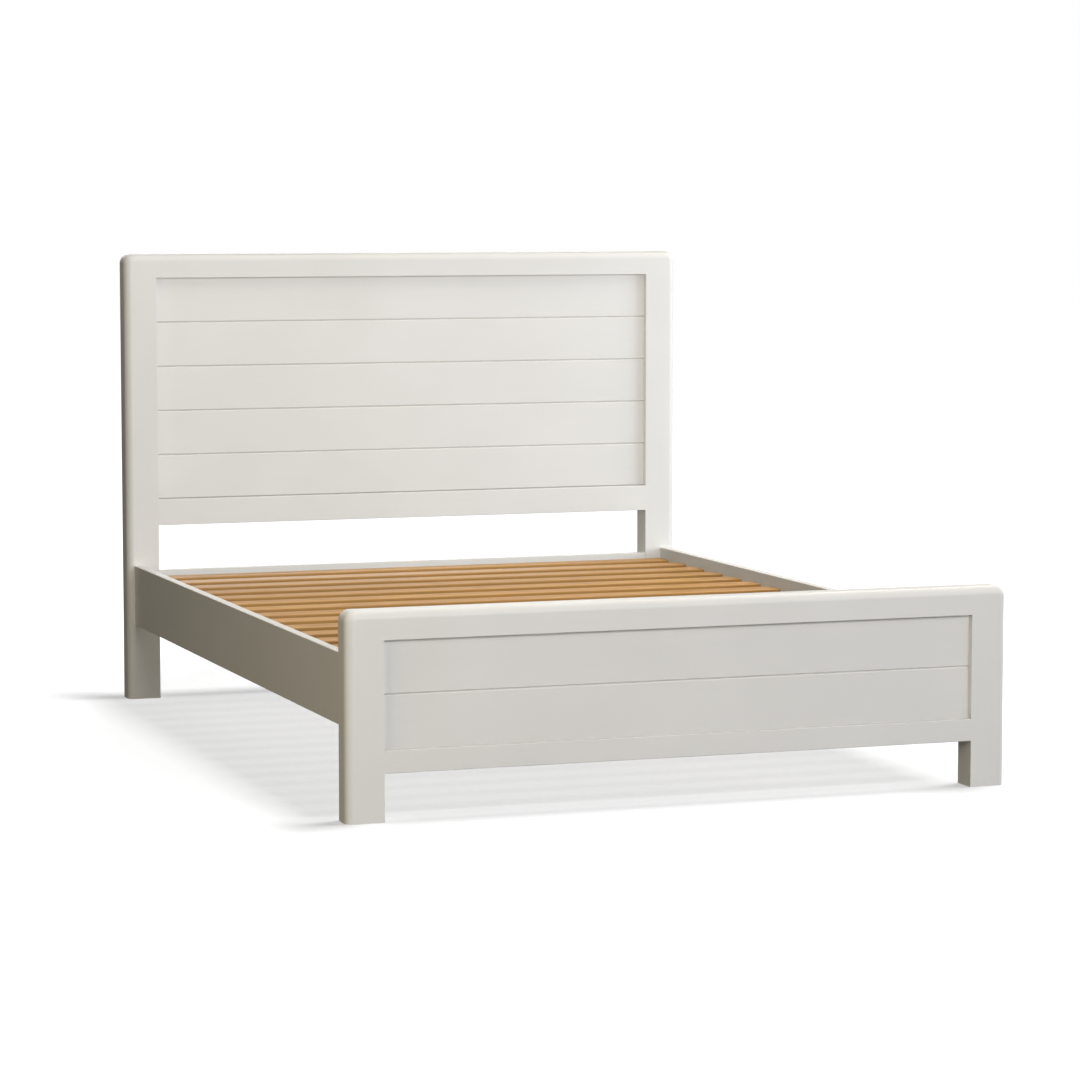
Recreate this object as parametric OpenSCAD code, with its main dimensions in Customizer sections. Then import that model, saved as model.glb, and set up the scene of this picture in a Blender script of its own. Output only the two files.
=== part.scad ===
// Painted timber bed frame for a 1500 x 2000 mattress: panelled headboard and footboard,
// plain side rails and a deck of fixed softwood slats on a centre rail.
// X runs across the bed, +Y towards the headboard, +Z up. The origin is on the floor under the middle.

/* [Mattress space] */
// Width of the mattress that the frame takes
mattress_w = 1500; // [900:10:1600]
// Length of the mattress that the frame takes
mattress_l = 2000; // [1900:10:2100]
// Free space on each long side of the mattress
mattress_side_play = 5; // [0:1:15]
// Free space at each end of the mattress
mattress_end_play = 7; // [2:1:20]

/* [Posts] */
// Width of a post across the bed
post_w = 88; // [80:1:110]
// Thickness of a post, which is that of the whole headboard and footboard
post_t = 66; // [58:1:80]
// Radius of the rounded edge round the front of a board
front_round = 19; // [8:1:20]
// Radius of the rounded edge round the back of a board
back_round = 12; // [6:1:20]
// Radius of a board's top corners, seen from the front
corner_round = 24; // [21:1:40]

/* [Headboard] */
// Height of the headboard above the floor
head_h = 1207; // [1140:1:1400]
// Height of the headboard's top rail
head_top_rail_h = 64; // [45:1:100]
// Height of the headboard's bottom rail
head_bottom_rail_h = 70; // [45:1:90]
// Height of the open gap under the headboard's bottom rail, from the floor
head_gap_top = 473; // [400:1:520]
// Number of planks in the headboard
head_planks = 5; // [3:1:5]

/* [Footboard] */
// Height of the footboard above the floor
foot_h = 467; // [460:1:520]
// Height of the footboard's top rail
foot_top_rail_h = 66; // [45:1:80]
// Height of the footboard's bottom rail
foot_bottom_rail_h = 51; // [40:1:62]
// Height of the open gap under the footboard's bottom rail, from the floor
foot_gap_top = 108; // [80:1:112]
// Number of planks in the footboard
foot_planks = 2; // [1:1:2]

/* [Planks] */
// Thickness of a plank
plank_t = 16; // [14:1:18]
// Depth of the panel behind the front of the frame
panel_recess = 17; // [10:1:22]
// Size of the bevel on a plank's front edges, half the width of the V groove
plank_bevel = 3; // [1:0.5:4]
// Thickness of the tongue on a plank's top edge
tongue_t = 5; // [4:0.5:6]
// Length of the tongue on a plank's top edge
tongue_l = 7; // [5:1:9]
// Depth of the groove that houses the panel in the posts and rails
housing_depth = 12; // [8:1:13]
// Height of the shoulder above and below each rail's tenon
tenon_shoulder = 8; // [5:1:12]
// Radius of the eased long edges of the rails in the boards
rail_arris = 1.5; // [0.5:0.5:3]

/* [Side rails] */
// Thickness of a side rail
side_rail_t = 23; // [20:1:28]
// Height of a side rail
side_rail_h = 162; // [155:1:180]
// Height of the side rails' top edge above the floor
side_rail_top = 365; // [350:1:380]
// Distance from a post's outer face in to a side rail's outer face
side_rail_inset = 19; // [12:1:22]
// Radius of the long edges of the side rails and the centre rail
side_rail_round = 2; // [1:0.5:4]

/* [Cross rails] */
// Thickness of the rail between the posts at each end of the slats
cross_rail_t = 24; // [20:1:26]
// Height of a cross rail's top edge above the floor
cross_rail_top = 351; // [330:1:365]
// Height of a cross rail
cross_rail_h = 148; // [140:1:160]
// Distance from a board's inner face back to a cross rail
cross_rail_setback = 4; // [0:1:6]
// Length of a cross rail's tenon
cross_tenon_l = 18; // [12:1:20]

/* [Slats] */
// Number of slats
slat_count = 15; // [8:1:15]
// Width of a slat
slat_w = 70; // [50:1:90]
// Thickness of a slat
slat_t = 20; // [16:1:24]
// Distance from one slat to the next, centre to centre
slat_pitch = 133; // [100:1:133]
// Depth of the slats' top below the side rails' top edge
slat_drop = 30; // [20:1:40]
// Radius of a slat's long edges
slat_round = 3; // [1:0.5:6]
// Gap between a slat's end and the side rail
slat_end_gap = 3; // [1:0.5:6]
// Gap between the first slat and the headboard
first_slat_gap = 1; // [0:0.5:10]
// Width of the ledge that carries the slats
ledge_w = 28; // [24:1:34]
// Height of the ledge that carries the slats
ledge_h = 28; // [24:1:32]
// Gap between a ledge's end and the posts
ledge_end_gap = 2; // [0:0.5:6]
// Radius of a ledge's free edges
ledge_round = 2; // [1:0.5:4]

/* [Centre support] */
// Width of the centre rail
centre_rail_w = 45; // [38:1:60]
// Height of the centre rail
centre_rail_h = 70; // [50:1:80]
// Gap between the centre rail's end and a cross rail
centre_rail_end_gap = 2; // [0:0.5:6]
// Side of a square centre leg
centre_leg_w = 45; // [38:1:60]
// Radius of a centre leg's upright edges
centre_leg_round = 2; // [1:0.5:4]
// Distance of each centre leg from the middle of the bed
centre_leg_offset = 337; // [200:1:600]
// Height of a centre leg's adjustable foot, with the bare stud
foot_gap = 14; // [10:1:20]
// Diameter of a centre leg's foot
foot_pad_d = 40; // [28:1:60]
// Thickness of a centre leg's foot
foot_pad_t = 8; // [5:1:9]
// Bevel of a centre leg's foot
foot_pad_bevel = 2; // [1:0.5:4]
// Diameter of a foot's stud
stud_d = 8; // [6:1:10]
// Length of a foot's stud in the leg
stud_l = 30; // [20:1:40]
// Diameter of the double-ended bolt between the centre rail and a leg
leg_bolt_d = 8; // [6:1:10]
// Length of that bolt, half of it in the rail
leg_bolt_l = 60; // [40:1:80]
// Sheet thickness of the centre rail's hangers
hanger_t = 2; // [1.5:0.5:3]
// Length of a hanger's cheeks along the rail
hanger_l = 40; // [30:1:60]
// Width of a hanger's screwed flange
hanger_flange = 18; // [16:1:30]
// Height of a hanger
hanger_h = 50; // [40:1:60]
// Distance of a hanger's screws from its upper and lower ends
hanger_screw_edge = 12; // [8:1:15]

/* [Hardware] */
// Sheet thickness of the brackets at the side rails' ends
bracket_t = 3; // [2:0.5:4]
// Length of a bracket's leg along the side rail
bracket_leg = 60; // [50:1:90]
// Width of a bracket's flange on the post
bracket_flange = 42; // [38:1:44]
// Height of a bracket
bracket_h = 70; // [60:1:72]
// Height of a bracket's lower edge above that of the side rail
bracket_rise = 3; // [0:1:6]
// Distance of a bracket's screws from its upper and lower edges
bracket_screw_edge = 15; // [10:1:20]
// Distance of a bracket's first screws from the post
bracket_screw_near = 22; // [18:1:26]
// Distance of a bracket's last screws from the end of its leg
bracket_screw_far = 12; // [8:1:16]
// Diameter of a bed bolt's shank
bolt_d = 8; // [6:1:8]
// Length of a bed bolt under its head
bolt_l = 40; // [30:1:50]
// Distance of the bed bolts from a bracket's upper and lower edges
bolt_edge = 18; // [14:1:22]
// Depth of a bolt's hole past the bolt's end
bolt_room = 5; // [2:1:10]
// Play of a bolt in its bracket, across the hole
bolt_play = 1; // [0.5:0.25:2]
// Outer diameter of a threaded insert
insert_d = 12; // [11:0.5:13]
// Length of a threaded insert
insert_l = 25; // [15:1:30]
// Diameter of the dowels that place the side rails
dowel_d = 10; // [6:1:12]
// Length of a dowel
dowel_l = 40; // [30:1:50]
// Distance of the dowels from a side rail's upper and lower edges
dowel_edge = 35; // [25:1:45]
// Diameter of a slat screw's shank
slat_screw_d = 4; // [3:0.5:5]
// Length of a slat screw
slat_screw_l = 38; // [30:1:44]
// Number of screws in each ledge
ledge_screws = 7; // [3:1:7]
// Diameter of a ledge screw's shank
ledge_screw_d = 4.5; // [3:0.5:6]
// Length of a ledge screw
ledge_screw_l = 43; // [38:1:45]
// Diameter of a bracket screw's shank
bracket_screw_d = 4.5; // [3:0.5:6]
// Length of a bracket screw
bracket_screw_l = 18; // [12:1:20]

/* [Fits] */
// Clearance on each side of a tenon or plank in its housing
wood_fit = 0.2; // [0.1:0.05:0.5]
// Clearance at the end of a tenon, plank or dowel
end_fit = 1; // [0.5:0.25:2]
// Clearance round a screw, bolt, insert or dowel
bore_fit = 0.1; // [0.05:0.05:0.3]
// Clearance between one plank and the next
plank_gap = 0.3; // [0.1:0.1:1]

/* [Hidden] */
$fn = 48;
PAINT = "#dedcd6";
PINE = "#cfa672";
STEEL = "#9a9c9e";
BEECH = "#d9bb8c";
BLACK = "#2b2b2b";

// Widths across the bed
clear_w = mattress_w + 2 * mattress_side_play;
inner_x = clear_w / 2;
rail_x = inner_x + side_rail_t;
outer_x = rail_x + side_rail_inset;
post_x = outer_x - post_w;
post_gap = 2 * post_x;

// Lengths along the bed
clear_l = mattress_l + 2 * mattress_end_play;
overall_l = clear_l + 2 * post_t;
foot_y = -overall_l / 2;
head_y = overall_l / 2 - post_t;
foot_face = foot_y + post_t;
cross_gap = clear_l + 2 * cross_rail_setback;

// Heights
corner_reach = max(corner_round, front_round + 1, back_round + 1);
side_rail_bottom = side_rail_top - side_rail_h;
cross_rail_bottom = cross_rail_top - cross_rail_h;
slat_top = side_rail_top - slat_drop;
ledge_top = slat_top - slat_t;
head_panel_top = head_h - head_top_rail_h;
head_panel_bottom = head_gap_top + head_bottom_rail_h;
head_plank_cover = (head_panel_top - head_panel_bottom) / head_planks;
foot_panel_top = foot_h - foot_top_rail_h;
foot_panel_bottom = foot_gap_top + foot_bottom_rail_h;
foot_plank_cover = (foot_panel_top - foot_panel_bottom) / foot_planks;

// Joinery of the boards, with depths counted from a board's front face
tenon_t = post_t / 3;
tenon_l = post_w / 2;
tenon_y = (post_t - tenon_t) / 2;
cross_tenon_t = cross_rail_t / 2;
housing_t = plank_t + 2 * wood_fit;
housing_y = panel_recess - wood_fit;
plank_seat = housing_depth - end_fit;
tongue_y = plank_bevel + (plank_t - plank_bevel) / 2;

// Hardware places
bolt_head_d = 1.75 * bolt_d;
bolt_head_h = 0.55 * bolt_d;
bolt_socket_d = 0.6 * bolt_d;
bolt_x = inner_x - bracket_t - bolt_head_d;
bracket_bottom = side_rail_bottom + bracket_rise;
bolt_heights = [bracket_bottom + bolt_edge, bracket_bottom + bracket_h - bolt_edge];
bolt_hole_l = bolt_l + bolt_room;
dowel_x = inner_x + side_rail_t / 2;
dowel_heights = [side_rail_bottom + dowel_edge, side_rail_top - dowel_edge];
bracket_screw_head_d = 2 * bracket_screw_d;
bracket_screw_head_h = 0.55 * bracket_screw_d;
bracket_screw_places = [
    for (reach = [bracket_screw_near, bracket_leg - bracket_screw_far])
        for (rise = [bracket_screw_edge, bracket_h - bracket_screw_edge]) [reach, rise]];
slat_screw_head_d = 2 * slat_screw_d;
ledge_screw_head_d = 2 * ledge_screw_d;
ledge_l = clear_l - 2 * ledge_end_gap;
screw_x = inner_x - ledge_w / 2;
centre_rail_bottom = ledge_top - centre_rail_h;
centre_rail_l = cross_gap - 2 * centre_rail_end_gap;
hanger_w = centre_rail_w + 2 * wood_fit;
hanger_bottom = centre_rail_bottom - hanger_t;
hanger_screw_x = hanger_w / 2 + hanger_t + hanger_flange / 2;
hanger_screw_heights = [hanger_screw_edge, hanger_h - hanger_screw_edge];
first_slat_y = head_y - first_slat_gap - slat_w / 2;

function slat_y(i) = first_slat_y - slat_pitch * (i - 1);
function ledge_screw_y(j) = slat_y(1) - slat_pitch * (0.5 + 2 * (j - 1));
function two_digits(i) = i < 10 ? str("0", i) : str(i);

// A rectangle whose two upper corners are rounded, r1 at the left and r2 at the right
module two_round(w, h, r1, r2) {
    difference() {
        square([w, h]);
        translate([0, h - r1]) difference() {
            square([r1, r1]);
            translate([r1, 0]) circle(r = r1);
        }
        translate([w - r2, h - r2]) difference() {
            square([r2, r2]);
            circle(r = r2);
        }
    }
}

// What the easing of a rectangle's two lower corners takes away, for a rectangle of width w
module lower_arris(w) {
    for (side = [0, 1]) translate([side * w, 0]) mirror([side, 0]) difference() {
        square(2 * rail_arris, center = true);
        translate([rail_arris, rail_arris]) circle(r = rail_arris);
    }
}

// A rectangle with all four corners rounded by r
module soft_rectangle(w, h, r) {
    translate([0, r]) square([w, h - 2 * r]);
    translate([r, 0]) square([w - 2 * r, h]);
    for (x = [r, w - r], y = [r, h - r]) translate([x, y]) circle(r = r);
}

// Extrudes a section drawn as depth and height along X, centred on x = 0
module along_x(length) {
    rotate([90, 0, 90]) linear_extrude(height = length, center = true) children();
}

// Extrudes a section drawn as width and height along Y, centred on y = 0
module along_y(length) {
    rotate([90, 0, 0]) linear_extrude(height = length, center = true) children();
}

// A box given by its two corners
module block(low, high) {
    translate(low) cube(high - low);
}

module both_sides() {
    children();
    mirror([1, 0, 0]) children();
}

// A round bar or bore from a point along +X, +Y or +Z
module bar_x(at, d, length) {
    translate(at) rotate([0, 90, 0]) cylinder(d = d, h = length);
}

module bar_y(at, d, length) {
    translate(at) rotate([-90, 0, 0]) cylinder(d = d, h = length);
}

module bar_z(at, d, length) {
    translate(at) cylinder(d = d, h = length);
}

// A countersunk screw along -Z with its head's top at z = 0, or with grow its hole
module sunk_screw(d, head_d, length, grow = 0) {
    head_h = (head_d - d) / 2;
    translate([0, 0, -head_h]) cylinder(d1 = d + 2 * grow, d2 = head_d + 2 * grow, h = head_h);
    translate([0, 0, -length]) cylinder(d = d + 2 * grow, h = length - head_h);
}

// The outer part of a board's section, wrapped round its sides and its top corners
module wrap_section(reach) {
    mirror([1, -1, 0]) two_round(post_t, reach, front_round, back_round);
}

// The right-hand post of a board of height h, with its front at y = 0
module post_blank(h) {
    translate([post_x, 0, 0]) linear_extrude(height = h - corner_reach) wrap_section(post_w);
    translate([outer_x - corner_reach, 0, h - corner_reach]) mirror([0, 1, -1])
        rotate_extrude(angle = 90) wrap_section(corner_reach);
    translate([(post_x + outer_x - corner_reach) / 2, 0, h - corner_reach])
        along_x(post_w - corner_reach) two_round(post_t, corner_reach, front_round, back_round);
}

// A mortise in a post for a rail between two heights
module mortise(low, high) {
    block([post_x - 1, tenon_y - wood_fit, low + tenon_shoulder - wood_fit],
          [post_x + tenon_l + end_fit, tenon_y + tenon_t + wood_fit, high - tenon_shoulder + wood_fit]);
}

module tenon(low, high) {
    block([post_x - 1, tenon_y, low + tenon_shoulder],
          [post_x + tenon_l, tenon_y + tenon_t, high - tenon_shoulder]);
}

module cross_mortise(y) {
    block([post_x - 1, y + cross_tenon_t / 2 - wood_fit, cross_rail_bottom + tenon_shoulder - wood_fit],
          [post_x + cross_tenon_l + end_fit, y + 1.5 * cross_tenon_t + wood_fit,
           cross_rail_top - tenon_shoulder + wood_fit]);
}

// The groove in a post that houses the ends of the planks
module post_housing(low, high) {
    block([post_x - 1, housing_y, low - housing_depth],
          [post_x + housing_depth, housing_y + housing_t, high + 1]);
}

// Bores for the bed bolts, their inserts and the dowels, entering a post from y = 0 along +Y
module post_bores() {
    for (z = bolt_heights) {
        bar_y([bolt_x, -1, z], insert_d + 2 * bore_fit, insert_l + 1);
        bar_y([bolt_x, 0, z], bolt_d + 2 * bore_fit, bolt_hole_l);
    }
    for (z = dowel_heights) bar_y([dowel_x, -1, z], dowel_d + 2 * bore_fit, dowel_l / 2 + 1 + end_fit / 2);
}

module head_post() {
    color(PAINT) translate([0, head_y, 0]) difference() {
        post_blank(head_h);
        mortise(head_panel_top, head_h);
        mortise(head_gap_top, head_panel_bottom);
        post_housing(head_panel_bottom, head_panel_top);
        cross_mortise(cross_rail_setback);
        post_bores();
    }
}

module foot_post() {
    color(PAINT) translate([0, foot_y, 0]) difference() {
        post_blank(foot_h);
        mortise(foot_panel_top, foot_h);
        mortise(foot_gap_top, foot_panel_bottom);
        post_housing(foot_panel_bottom, foot_panel_top);
        cross_mortise(post_t - cross_rail_setback - cross_rail_t);
        translate([0, post_t, 0]) mirror([0, 1, 0]) post_bores();
    }
}

// A top rail with its rounded top edges, its tenons and the groove for the panel
module top_rail(y, low, high) {
    color(PAINT) translate([0, y, 0]) difference() {
        union() {
            translate([0, 0, low]) along_x(post_gap) difference() {
                two_round(post_t, high - low, front_round, back_round);
                lower_arris(post_t);
            }
            both_sides() tenon(low, high);
        }
        block([-post_x - 1, housing_y, low - 1], [post_x + 1, housing_y + housing_t, low + housing_depth]);
    }
}

// A bottom rail with its tenons and the groove for the panel
module bottom_rail(y, low, high) {
    color(PAINT) translate([0, y, 0]) difference() {
        union() {
            translate([0, 0, low]) along_x(post_gap) soft_rectangle(post_t, high - low, rail_arris);
            both_sides() tenon(low, high);
        }
        block([-post_x - 1, housing_y, high - housing_depth], [post_x + 1, housing_y + housing_t, high + 1]);
    }
}

// The flat rail between the foot posts that closes the slat deck, bored for its hanger's screws
module cross_rail() {
    screw_reach = bracket_screw_l - hanger_t + end_fit;
    color(PAINT) translate([0, -cross_gap / 2 - cross_rail_t, 0]) difference() {
        union() {
            translate([0, 0, cross_rail_bottom])
                along_x(post_gap) soft_rectangle(cross_rail_t, cross_rail_h, rail_arris);
            both_sides() block(
                [post_x - 1, cross_tenon_t / 2, cross_rail_bottom + tenon_shoulder],
                [post_x + cross_tenon_l, 1.5 * cross_tenon_t, cross_rail_top - tenon_shoulder]);
        }
        both_sides() for (z = hanger_screw_heights)
            bar_y([hanger_screw_x, cross_rail_t - screw_reach, hanger_bottom + z],
                  bracket_screw_d + 2 * bore_fit, screw_reach + 1);
    }
}

// Section of a plank from its front face back, with bevels, and a tongue or groove where it has them
module plank_section(height, has_groove, has_tongue) {
    half = tongue_t / 2;
    room = half + wood_fit;
    depth = tongue_l + end_fit;
    foot = has_groove
        ? [[plank_bevel, 0], [tongue_y - room, 0], [tongue_y - room, depth],
           [tongue_y + room, depth], [tongue_y + room, 0], [plank_t, 0]]
        : [[plank_bevel, 0], [plank_bevel, -plank_seat], [plank_t, -plank_seat]];
    head = has_tongue
        ? [[plank_t, height], [tongue_y + half, height], [tongue_y + half, height + tongue_l],
           [tongue_y - half, height + tongue_l], [tongue_y - half, height], [plank_bevel, height]]
        : [[plank_t, height + plank_seat], [plank_bevel, height + plank_seat], [plank_bevel, height]];
    front = [[0, height - plank_bevel], [0, plank_bevel]];
    polygon(concat(foot, head, front));
}

// Plank number i of count, counted from the bottom, each covering the same height
module plank(y, low, cover, i, count) {
    color(PAINT) translate([0, y + panel_recess, low + (i - 1) * cover])
        along_x(post_gap + 2 * plank_seat) plank_section(cover - plank_gap, i > 1, i < count);
}

module side_rail() {
    color(PAINT) difference() {
        translate([inner_x, 0, side_rail_bottom])
            along_y(clear_l) soft_rectangle(side_rail_t, side_rail_h, side_rail_round);
        for (z = dowel_heights) {
            bar_y([dowel_x, head_y - (dowel_l + end_fit) / 2, z], dowel_d + 2 * bore_fit, dowel_l);
            bar_y([dowel_x, foot_face + (end_fit - dowel_l) / 2, z], dowel_d + 2 * bore_fit, dowel_l);
        }
        for (side = [0, 1], place = bracket_screw_places)
            bar_x([inner_x - 1, bracket_screw_y(side, place[0]), bracket_bottom + place[1]],
                  bracket_screw_d + 2 * bore_fit, bracket_screw_l - bracket_t + 1 + end_fit);
        for (j = [1:ledge_screws])
            bar_x([inner_x - 1, ledge_screw_y(j), ledge_top - ledge_h / 2],
                  ledge_screw_d + 2 * bore_fit, ledge_screw_l - ledge_w + 1 + end_fit);
    }
}

// Place along Y of a bracket screw at a distance from the post, at the foot for 0 and the head for 1
function bracket_screw_y(side, reach) = side == 0 ? foot_face + reach : head_y - reach;

module slat_ledge() {
    color(PINE) difference() {
        translate([inner_x - ledge_w, 0, ledge_top - ledge_h])
            along_y(ledge_l) soft_rectangle(ledge_w, ledge_h, ledge_round);
        for (i = [1:slat_count]) translate([screw_x, slat_y(i), slat_top])
            sunk_screw(slat_screw_d, slat_screw_head_d, slat_screw_l + end_fit, bore_fit);
        for (j = [1:ledge_screws]) translate([inner_x - ledge_w, ledge_screw_y(j), ledge_top - ledge_h / 2])
            rotate([0, -90, 0]) sunk_screw(ledge_screw_d, ledge_screw_head_d, ledge_screw_l, bore_fit);
    }
}

module slat(i) {
    color(PINE) difference() {
        translate([0, slat_y(i) - slat_w / 2, ledge_top])
            along_x(clear_w - 2 * slat_end_gap) soft_rectangle(slat_w, slat_t, slat_round);
        both_sides() translate([screw_x, slat_y(i), slat_top])
            sunk_screw(slat_screw_d, slat_screw_head_d, slat_screw_l, bore_fit);
    }
}

module centre_rail() {
    color(PINE) difference() {
        translate([-centre_rail_w / 2, 0, centre_rail_bottom])
            along_y(centre_rail_l) soft_rectangle(centre_rail_w, centre_rail_h, side_rail_round);
        for (y = [-centre_leg_offset, centre_leg_offset])
            bar_z([0, y, centre_rail_bottom - 1], leg_bolt_d + 2 * bore_fit, leg_bolt_l / 2 + 1 + end_fit);
    }
}

module centre_leg(y) {
    color(PINE) translate([0, y, 0]) difference() {
        translate([-centre_leg_w / 2, -centre_leg_w / 2, foot_gap])
            linear_extrude(height = centre_rail_bottom - foot_gap)
                soft_rectangle(centre_leg_w, centre_leg_w, centre_leg_round);
        bar_z([0, 0, centre_rail_bottom - leg_bolt_l / 2 - end_fit], leg_bolt_d + 2 * bore_fit, leg_bolt_l);
        bar_z([0, 0, foot_gap - 1], stud_d + 2 * bore_fit, stud_l + 1 + end_fit);
    }
}

module centre_leg_bolts() {
    color(STEEL) for (y = [-centre_leg_offset, centre_leg_offset])
        bar_z([0, y, centre_rail_bottom - leg_bolt_l / 2], leg_bolt_d, leg_bolt_l);
}

// An adjustable foot: a round pad with a softened rim and a stud that screws up into the leg
module centre_leg_feet() {
    color(BLACK) for (y = [-centre_leg_offset, centre_leg_offset]) translate([0, y, 0]) {
        cylinder(d = foot_pad_d, h = foot_pad_t - foot_pad_bevel);
        translate([0, 0, foot_pad_t - foot_pad_bevel])
            cylinder(d1 = foot_pad_d, d2 = foot_pad_d - 2 * foot_pad_bevel, h = foot_pad_bevel);
        cylinder(d = stud_d, h = foot_gap + stud_l);
    }
}

// A folded sheet hanger that carries one end of the centre rail, for a cross rail's face at y = 0
module hanger() {
    half = hanger_w / 2;
    low = hanger_bottom;
    difference() {
        union() {
            block([-half - hanger_t, 0, low], [half + hanger_t, hanger_l, low + hanger_t]);
            both_sides() block([half, 0, low], [half + hanger_t, hanger_l, low + hanger_h]);
            both_sides() block([half, 0, low], [half + hanger_t + hanger_flange, hanger_t, low + hanger_h]);
        }
        both_sides() for (z = hanger_screw_heights)
            bar_y([hanger_screw_x, -1, low + z], bracket_screw_d + 2 * bore_fit, hanger_t + 2);
    }
}

// Repeats what is drawn for the foot end, with the cross rail's face at y = 0, at both ends
module both_cross_rails() {
    for (turn = [0, 1]) mirror([0, turn, 0]) translate([0, -cross_gap / 2, 0]) children();
}

module centre_rail_hangers() {
    color(STEEL) both_cross_rails() hanger();
}

// An angle bracket at the foot end of the right-hand rail
module rail_bracket() {
    difference() {
        union() {
            block([inner_x - bracket_t, foot_face, bracket_bottom],
                  [inner_x, foot_face + bracket_leg, bracket_bottom + bracket_h]);
            block([inner_x - bracket_flange, foot_face, bracket_bottom],
                  [inner_x, foot_face + bracket_t, bracket_bottom + bracket_h]);
        }
        for (z = bolt_heights) bar_y([bolt_x, foot_face - 1, z], bolt_d + bolt_play, bracket_t + 2);
        for (place = bracket_screw_places)
            bar_x([inner_x - bracket_t - 1, foot_face + place[0], bracket_bottom + place[1]],
                  bracket_screw_d + 2 * bore_fit, bracket_t + 2);
    }
}

// Repeats what is drawn for the right-hand rail's foot end at all four corners
module four_corners() {
    for (turn = [0, 1]) mirror([0, turn, 0]) both_sides() children();
}

module rail_brackets() {
    color(STEEL) four_corners() rail_bracket();
}

// Button-headed bolts, with a socket in the head, that pull the brackets to the posts
module bed_bolts() {
    color(STEEL) four_corners() for (z = bolt_heights)
        translate([bolt_x, foot_face + bracket_t, z]) rotate([90, 0, 0]) difference() {
            union() {
                cylinder(d = bolt_d, h = bolt_l);
                translate([0, 0, -bolt_head_h])
                    cylinder(d1 = 0.7 * bolt_head_d, d2 = bolt_head_d, h = bolt_head_h);
            }
            translate([0, 0, -bolt_head_h - 1])
                cylinder(d = bolt_socket_d, h = 0.6 * bolt_head_h + 1, $fn = 6);
        }
}

module threaded_inserts() {
    color(STEEL) four_corners() for (z = bolt_heights)
        translate([bolt_x, foot_face, z]) rotate([90, 0, 0]) difference() {
            cylinder(d = insert_d, h = insert_l - end_fit);
            translate([0, 0, -1]) cylinder(d = bolt_d + 2 * bore_fit, h = insert_l + 1);
        }
}

module rail_dowels() {
    color(BEECH) four_corners() for (z = dowel_heights)
        bar_y([dowel_x, foot_face - dowel_l / 2, z], dowel_d, dowel_l);
}

module slat_screws() {
    color(STEEL) both_sides() for (i = [1:slat_count])
        translate([screw_x, slat_y(i), slat_top]) sunk_screw(slat_screw_d, slat_screw_head_d, slat_screw_l);
}

module ledge_screws() {
    color(STEEL) both_sides() for (j = [1:ledge_screws])
        translate([inner_x - ledge_w, ledge_screw_y(j), ledge_top - ledge_h / 2]) rotate([0, -90, 0])
            sunk_screw(ledge_screw_d, ledge_screw_head_d, ledge_screw_l);
}

// A pan-headed screw along -Z with the underside of its head at z = 0
module pan_screw() {
    cylinder(d1 = bracket_screw_head_d, d2 = 0.75 * bracket_screw_head_d, h = bracket_screw_head_h);
    translate([0, 0, -bracket_screw_l]) cylinder(d = bracket_screw_d, h = bracket_screw_l);
}

module bracket_screws() {
    color(STEEL) {
        four_corners() for (place = bracket_screw_places)
            translate([inner_x - bracket_t, foot_face + place[0], bracket_bottom + place[1]])
                rotate([0, -90, 0]) pan_screw();
        both_cross_rails() both_sides() for (z = hanger_screw_heights)
            translate([hanger_screw_x, hanger_t, hanger_bottom + z])
                rotate([-90, 0, 0]) pan_screw();
    }
}

HEAD_PLANKS = [for (i = [1:head_planks]) str("headboard_plank_", i)];
FOOT_PLANKS = [for (i = [1:foot_planks]) str("footboard_plank_", i)];
SLATS = [for (i = [1:slat_count]) str("slat_", two_digits(i))];

head_post();  // headboard_right_post
mirror([1, 0, 0]) head_post();  // headboard_left_post
top_rail(head_y, head_panel_top, head_h);  // headboard_top_rail
bottom_rail(head_y, head_gap_top, head_panel_bottom);  // headboard_bottom_rail
mirror([0, 1, 0]) cross_rail();  // headboard_cross_rail
foot_post();  // footboard_right_post
mirror([1, 0, 0]) foot_post();  // footboard_left_post
top_rail(foot_y, foot_panel_top, foot_h);  // footboard_top_rail
bottom_rail(foot_y, foot_gap_top, foot_panel_bottom);  // footboard_bottom_rail
cross_rail();  // footboard_cross_rail
for (i = [1:head_planks])
    plank(head_y, head_panel_bottom, head_plank_cover, i, head_planks);
for (i = [1:foot_planks])
    plank(foot_y, foot_panel_bottom, foot_plank_cover, i, foot_planks);
side_rail();  // right_side_rail
mirror([1, 0, 0]) side_rail();  // left_side_rail
slat_ledge();  // right_slat_ledge
mirror([1, 0, 0]) slat_ledge();  // left_slat_ledge
for (i = [1:slat_count])
    slat(i);
centre_rail();
centre_rail_hangers();
centre_leg(-centre_leg_offset);  // foot_end_centre_leg
centre_leg(centre_leg_offset);  // head_end_centre_leg
centre_leg_bolts();
centre_leg_feet();
rail_brackets();
bed_bolts();
threaded_inserts();
rail_dowels();
slat_screws();
ledge_screws();
bracket_screws();
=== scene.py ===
"""Dresses a painted timber bed frame and stands it on a pale studio floor.

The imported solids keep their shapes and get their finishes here: satin paint over timber, planed pine,
zinc-plated steel, beech and moulded plastic. The screws, bolts and adjustable feet are modelled anew,
with recesses and threads, and three planks are copied with a square edge where they meet their rails.
Everything is in metres: X runs across the bed, +Y towards the headboard, +Z up.
"""

import logging
import math
from collections.abc import Callable
from dataclasses import dataclass, field
from enum import Enum

import bpy
from mathutils import Matrix, Vector


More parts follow.
